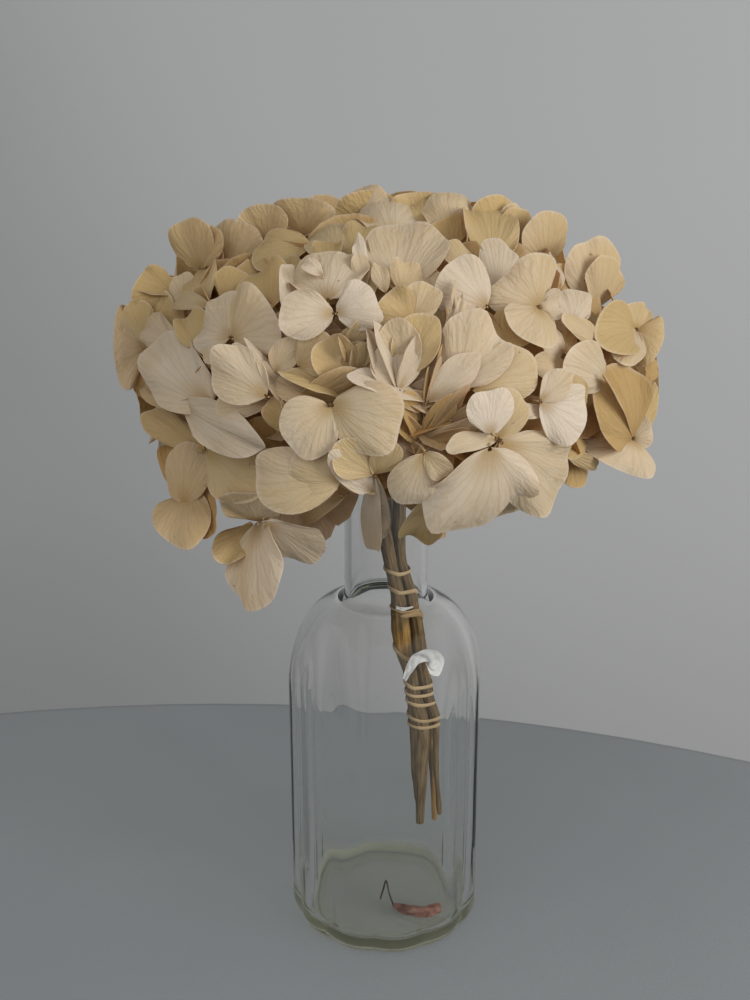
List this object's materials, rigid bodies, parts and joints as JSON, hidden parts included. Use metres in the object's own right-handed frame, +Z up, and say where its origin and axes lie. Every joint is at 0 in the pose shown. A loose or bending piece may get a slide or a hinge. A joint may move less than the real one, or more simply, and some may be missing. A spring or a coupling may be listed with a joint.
{
  "type": "dried hydrangeas in a glass bottle vase",
  "caption": "Dried cream hydrangea heads, their bare stems bound with twine, standing in a clear fluted glass bottle used as a vase on a table or shelf.",
  "frame": {"origin": "middle of the bottle's flat underside", "axes": "+Z up along the bottle, -Y towards the viewer of the picture, +X to the viewer's right"},
  "size_m": [0.1865, 0.1839, 0.2827],
  "materials": {
    "clear_glass": "clear, polished, faintly green where it is thick",
    "dry_stem": "dry, dull, streaked bark",
    "twine": "dull plant fibre",
    "white_paper": "matt",
    "bark": "dry, dull",
    "dry_sepals": "matt, papery, finely veined"
  },
  "bodies": {
    "root": {"bottle": "clear_glass", "stem_left": "dry_stem", "stem_right": "dry_stem", "stem_back": "dry_stem", "twine": "twine", "paper_loop": "white_paper", "paper_scrap": "white_paper", "bark_sliver": "bark", "head_left": "dry_sepals", "head_right": "dry_sepals", "head_back": "dry_sepals"}
  },
  "joints": []
}
